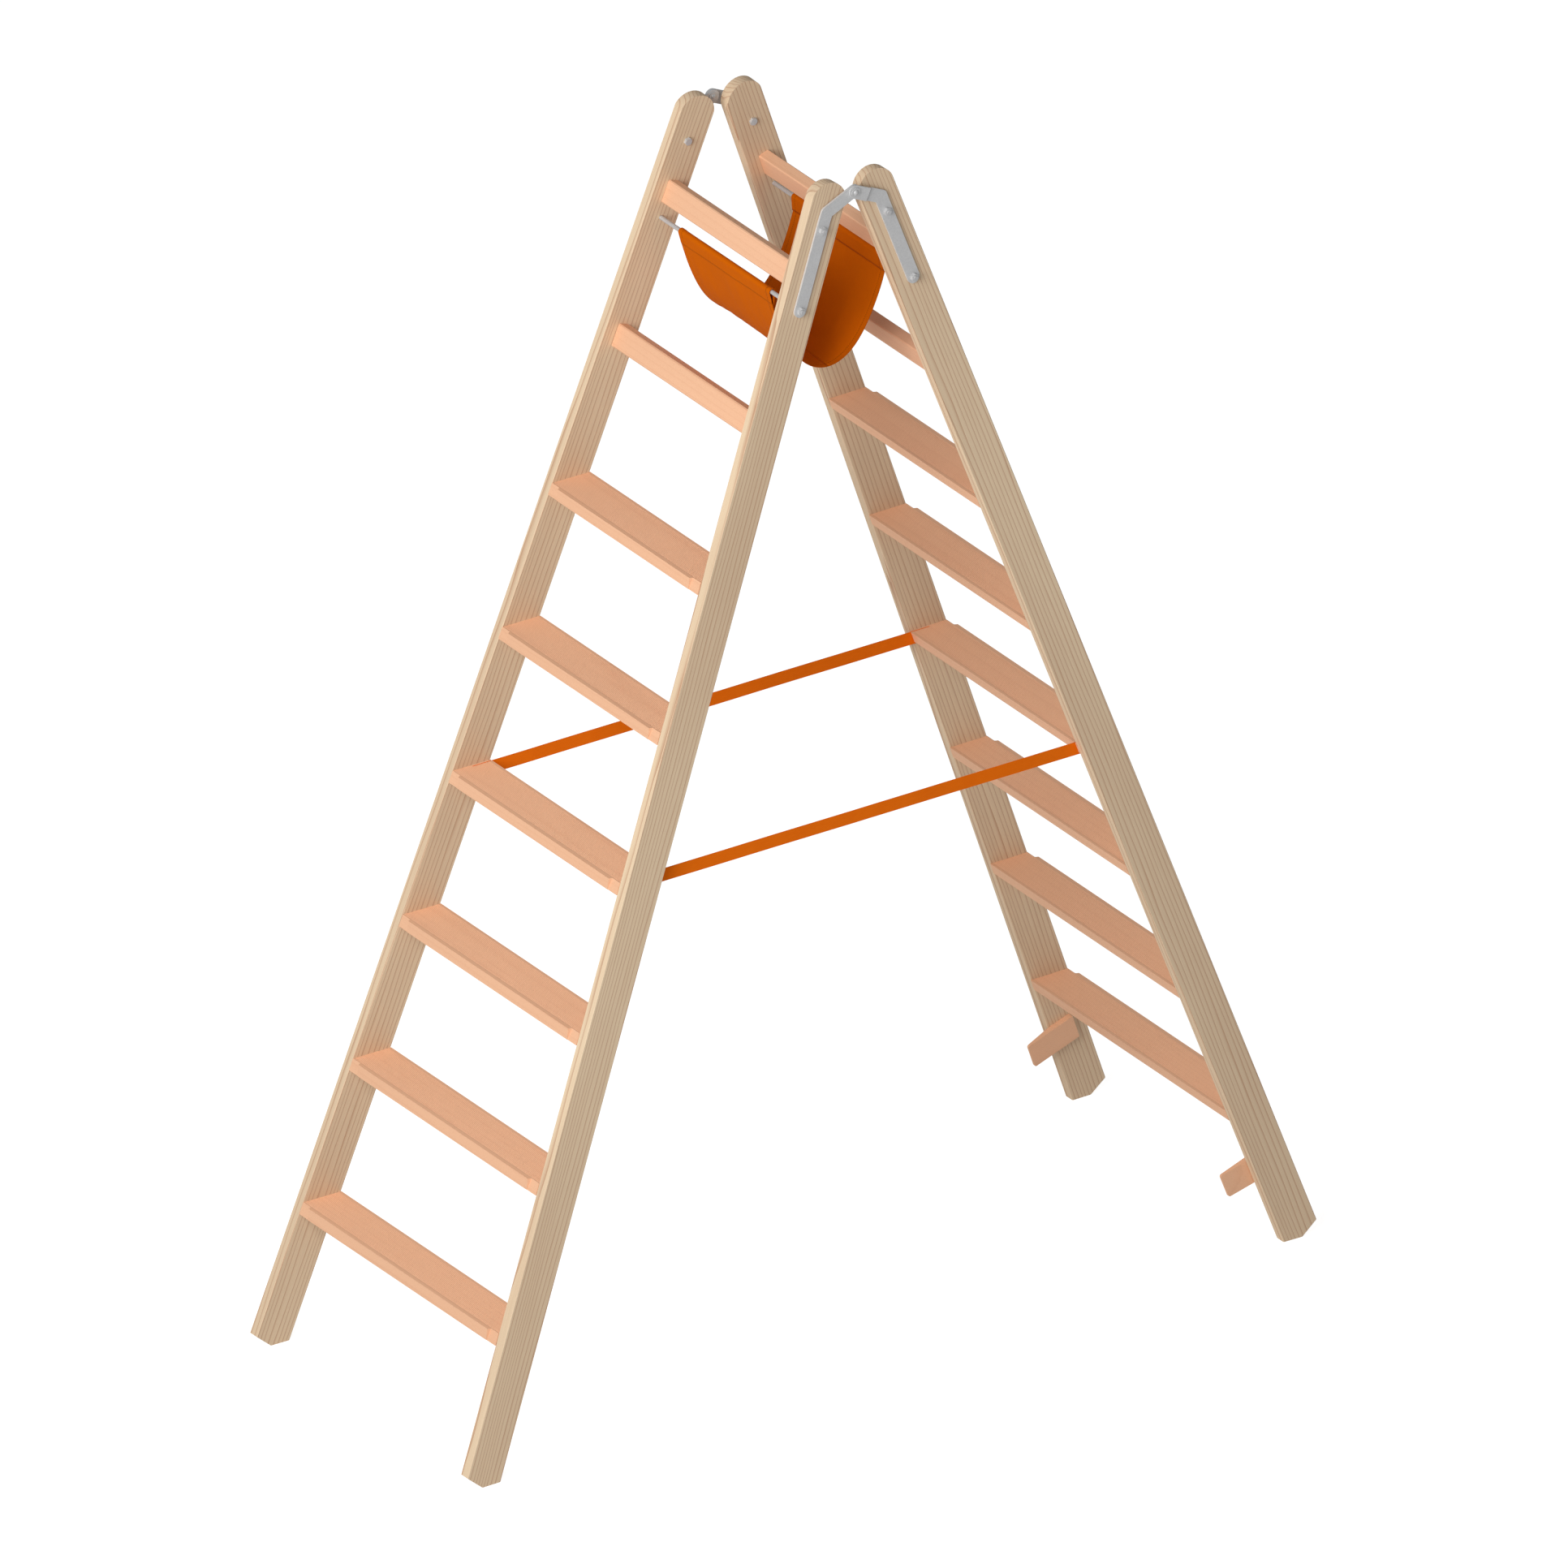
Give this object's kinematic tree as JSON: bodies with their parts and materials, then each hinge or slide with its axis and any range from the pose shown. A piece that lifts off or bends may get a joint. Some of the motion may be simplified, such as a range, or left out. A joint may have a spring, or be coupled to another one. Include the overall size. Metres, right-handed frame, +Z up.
{
  "type": "folding step ladder",
  "caption": "Double-sided timber step ladder: two flared frames hinged at the top, ribbed treads, upper rungs, spread straps and a cloth tool bag between tie rods.",
  "frame": {"origin": "middle of the footprint on the floor, halfway between the two frames and halfway between the stiles", "axes": "+Z up, +X along the treads towards the ladder's right, +Y from the front frame towards the rear frame"},
  "size_m": [0.6874, 1.803, 2.2891],
  "materials": {
    "spruce": "matt",
    "beech": "matt",
    "zinc_steel": "satin",
    "bag_cloth": "woven",
    "strap_webbing": "woven"
  },
  "bodies": {
    "front_frame": {"front_left_stile": "spruce", "front_right_stile": "spruce", "front_tread_1": "beech", "front_tread_2": "beech", "front_tread_3": "beech", "front_tread_4": "beech", "front_tread_5": "beech", "front_tread_6": "beech", "front_lower_rung": "beech", "front_upper_rung": "beech", "front_left_hinge_plate": "zinc_steel", "front_right_hinge_plate": "zinc_steel", "front_hinge_bolts": "zinc_steel", "front_hinge_nuts": "zinc_steel", "front_tie_rod": "zinc_steel", "front_tie_rod_nuts": "zinc_steel", "front_strap_pins": "zinc_steel", "left_pivot_rivet": "zinc_steel", "right_pivot_rivet": "zinc_steel"},
    "rear_frame": {"rear_left_stile": "spruce", "rear_right_stile": "spruce", "rear_tread_1": "beech", "rear_tread_2": "beech", "rear_tread_3": "beech", "rear_tread_4": "beech", "rear_tread_5": "beech", "rear_tread_6": "beech", "rear_lower_rung": "beech", "rear_upper_rung": "beech", "rear_left_hinge_plate": "zinc_steel", "rear_right_hinge_plate": "zinc_steel", "rear_hinge_bolts": "zinc_steel", "rear_hinge_nuts": "zinc_steel", "rear_tie_rod": "zinc_steel", "rear_tie_rod_nuts": "zinc_steel", "rear_strap_pins": "zinc_steel", "left_guide_block": "beech", "right_guide_block": "beech", "guide_block_dowels": "beech"},
    "bag_front": {"bag_front_panel": "bag_cloth"},
    "bag_rear": {"bag_rear_panel": "bag_cloth"},
    "left_strap_front": {"left_strap_front_half": "strap_webbing"},
    "right_strap_front": {"right_strap_front_half": "strap_webbing"},
    "left_strap_rear": {"left_strap_rear_half": "strap_webbing"},
    "right_strap_rear": {"right_strap_rear_half": "strap_webbing"}
  },
  "joints": [
    {"name": "fold", "type": "hinge", "parent": "front_frame", "child": "rear_frame", "pos_m": [0, 0, 2.2622], "axis": [-1, 0, 0], "range_deg": [0, 40], "deforming": ["bag_front_panel", "bag_rear_panel", "left_strap_front_half", "right_strap_front_half", "left_strap_rear_half", "right_strap_rear_half"]},
    {"name": "bag_front_hang", "type": "hinge", "parent": "front_frame", "child": "bag_front", "pos_m": [0, -0.12008, 2.06327], "axis": [-1, 0, 0], "range_deg": [0, 41.8]},
    {"name": "bag_rear_hang", "type": "hinge", "parent": "rear_frame", "child": "bag_rear", "pos_m": [0, 0.12008, 2.06327], "axis": [1, 0, 0], "range_deg": [0, 41.8]},
    {"name": "left_strap_front_swing", "type": "hinge", "parent": "front_frame", "child": "left_strap_front", "pos_m": [-0.25835, -0.44932, 1.04904], "axis": [-0.6318, 0.449, -0.6318], "range_deg": [0, 131.8]},
    {"name": "right_strap_front_swing", "type": "hinge", "parent": "front_frame", "child": "right_strap_front", "pos_m": [0.25835, -0.44932, 1.04904], "axis": [-0.6318, -0.449, 0.6318], "range_deg": [0, 131.8]},
    {"name": "left_strap_rear_swing", "type": "hinge", "parent": "rear_frame", "child": "left_strap_rear", "pos_m": [-0.25835, 0.44932, 1.04904], "axis": [0.6318, 0.449, 0.6318], "range_deg": [0, 131.8]},
    {"name": "right_strap_rear_swing", "type": "hinge", "parent": "rear_frame", "child": "right_strap_rear", "pos_m": [0.25835, 0.44932, 1.04904], "axis": [0.6318, -0.449, -0.6318], "range_deg": [0, 131.8]}
  ],
  "couplings": [
    {"joint": "bag_front_hang", "follows": "fold", "ratio": 1.0425},
    {"joint": "bag_rear_hang", "follows": "fold", "ratio": 1.0425},
    {"joint": "left_strap_front_swing", "follows": "fold", "ratio": 3.2909},
    {"joint": "right_strap_front_swing", "follows": "fold", "ratio": 3.2909},
    {"joint": "left_strap_rear_swing", "follows": "fold", "ratio": 3.2909},
    {"joint": "right_strap_rear_swing", "follows": "fold", "ratio": 3.2909}
  ]
}
